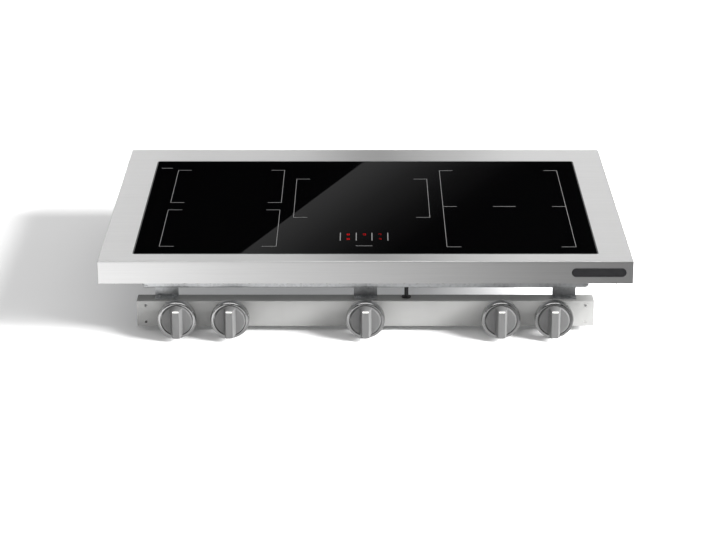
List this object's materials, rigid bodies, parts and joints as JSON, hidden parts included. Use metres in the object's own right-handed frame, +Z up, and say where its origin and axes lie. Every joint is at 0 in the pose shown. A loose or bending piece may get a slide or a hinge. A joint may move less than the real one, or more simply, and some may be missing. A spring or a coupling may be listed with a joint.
{
  "type": "electric induction cooktop",
  "caption": "Built-in electric induction cooktop: a brushed steel top with a flush black glass, and control knobs on a rail for the cabinet's front panel.",
  "frame": {"origin": "centre of the seat plane, the underside of the steel top's bottom flange, which rests on the cabinet", "axes": "+X to the user's right, +Y to the rear wall, +Z up; the knobs face -Y"},
  "size_m": [0.9, 0.6461, 0.1435],
  "materials": {
    "brushed_steel": "linear brushed, grain side to side",
    "black_glass": "polished black glass-ceramic",
    "black_silicone": "matt",
    "zinc_steel": "galvanised sheet, spangled",
    "rail_paint": "pale grey powder coat",
    "badge_enamel": "dark enamel, satin, blank",
    "aluminium": "mill finish",
    "copper_litz": "enamelled litz wire",
    "white_plastic": "matt",
    "ferrite": "sintered, matt",
    "mica": "matt sheet",
    "circuit_board": "green solder mask, semi-gloss",
    "black_plastic": "fine texture",
    "terminal_plastic": "matt",
    "red_display": "lit seven-segment digits",
    "knob_metal": "satin brushed",
    "polished_steel": "polished",
    "white_mark": "smooth enamel",
    "shaft_steel": "turned"
  },
  "bodies": {
    "root": {"base_tray": "zinc_steel", "blower_housing_left": "black_plastic", "blower_housing_right": "black_plastic", "cable_gland": "black_plastic", "cable_grommets": "black_silicone", "carrier_pillars": "zinc_steel", "coil_carrier_centre": "aluminium", "coil_carrier_left": "aluminium", "coil_carrier_right": "aluminium", "coil_formers": "white_plastic", "coil_winding_centre": "copper_litz", "coil_winding_left_front": "copper_litz", "coil_winding_left_rear": "copper_litz", "coil_winding_right_front": "copper_litz", "coil_winding_right_rear": "copper_litz", "control_cable": "black_plastic", "control_rail": "rail_paint", "display_board": "circuit_board", "display_digits": "red_display", "encoder_nuts": "zinc_steel", "ferrite_bars": "ferrite", "filter_board": "circuit_board", "fixing_brackets": "zinc_steel", "front_badge": "badge_enamel", "glass_plate": "black_glass", "glass_seal": "black_silicone", "glass_support_frame": "zinc_steel", "heat_sink_left": "aluminium", "heat_sink_right": "aluminium", "knob_bezels": "polished_steel", "mica_sheets": "mica", "panel_spacers": "polished_steel", "power_board_left": "circuit_board", "power_board_right": "circuit_board", "rail_cover": "zinc_steel", "rail_hangers": "zinc_steel", "rotary_encoders": "black_plastic", "temperature_sensors": "white_plastic", "terminal_block": "terminal_plastic", "terminal_box": "black_plastic", "top_frame": "brushed_steel", "tray_bolts": "zinc_steel"},
    "knob_left_rear": {"knob_left_rear": "knob_metal", "knob_mark_left_rear": "white_mark", "knob_shaft_left_rear": "shaft_steel"},
    "knob_left_front": {"knob_left_front": "knob_metal", "knob_mark_left_front": "white_mark", "knob_shaft_left_front": "shaft_steel"},
    "knob_centre": {"knob_centre": "knob_metal", "knob_mark_centre": "white_mark", "knob_shaft_centre": "shaft_steel"},
    "knob_right_rear": {"knob_right_rear": "knob_metal", "knob_mark_right_rear": "white_mark", "knob_shaft_right_rear": "shaft_steel"},
    "knob_right_front": {"knob_right_front": "knob_metal", "knob_mark_right_front": "white_mark", "knob_shaft_right_front": "shaft_steel"},
    "impeller_left": {"impeller_left": "black_plastic"},
    "impeller_right": {"impeller_right": "black_plastic"},
    "terminal_cover": {"terminal_cover": "black_plastic"}
  },
  "joints": [
    {"name": "knob_left_rear_turn", "type": "hinge", "parent": "root", "child": "knob_left_rear", "pos_m": [-0.32, -0.2955, -0.0705], "axis": [0, 1, 0], "range_deg": [0, 290]},
    {"name": "knob_left_front_turn", "type": "hinge", "parent": "root", "child": "knob_left_front", "pos_m": [-0.23, -0.2955, -0.0705], "axis": [0, 1, 0], "range_deg": [0, 290]},
    {"name": "knob_centre_turn", "type": "hinge", "parent": "root", "child": "knob_centre", "pos_m": [0, -0.2955, -0.0705], "axis": [0, 1, 0], "range_deg": [0, 290]},
    {"name": "knob_right_rear_turn", "type": "hinge", "parent": "root", "child": "knob_right_rear", "pos_m": [0.23, -0.2955, -0.0705], "axis": [0, 1, 0], "range_deg": [0, 290]},
    {"name": "knob_right_front_turn", "type": "hinge", "parent": "root", "child": "knob_right_front", "pos_m": [0.32, -0.2955, -0.0705], "axis": [0, 1, 0], "range_deg": [0, 290]},
    {"name": "impeller_left_spin", "type": "hinge", "parent": "root", "child": "impeller_left", "pos_m": [-0.255, 0.15, -0.01], "axis": [0, 0, 1], "continuous": true},
    {"name": "impeller_right_spin", "type": "hinge", "parent": "root", "child": "impeller_right", "pos_m": [0.255, 0.15, -0.01], "axis": [0, 0, 1], "continuous": true},
    {"name": "terminal_cover_hinge", "type": "hinge", "parent": "root", "child": "terminal_cover", "pos_m": [0, 0.2402, -0.0305], "axis": [1, 0, 0], "range_deg": [0, 100]}
  ]
}
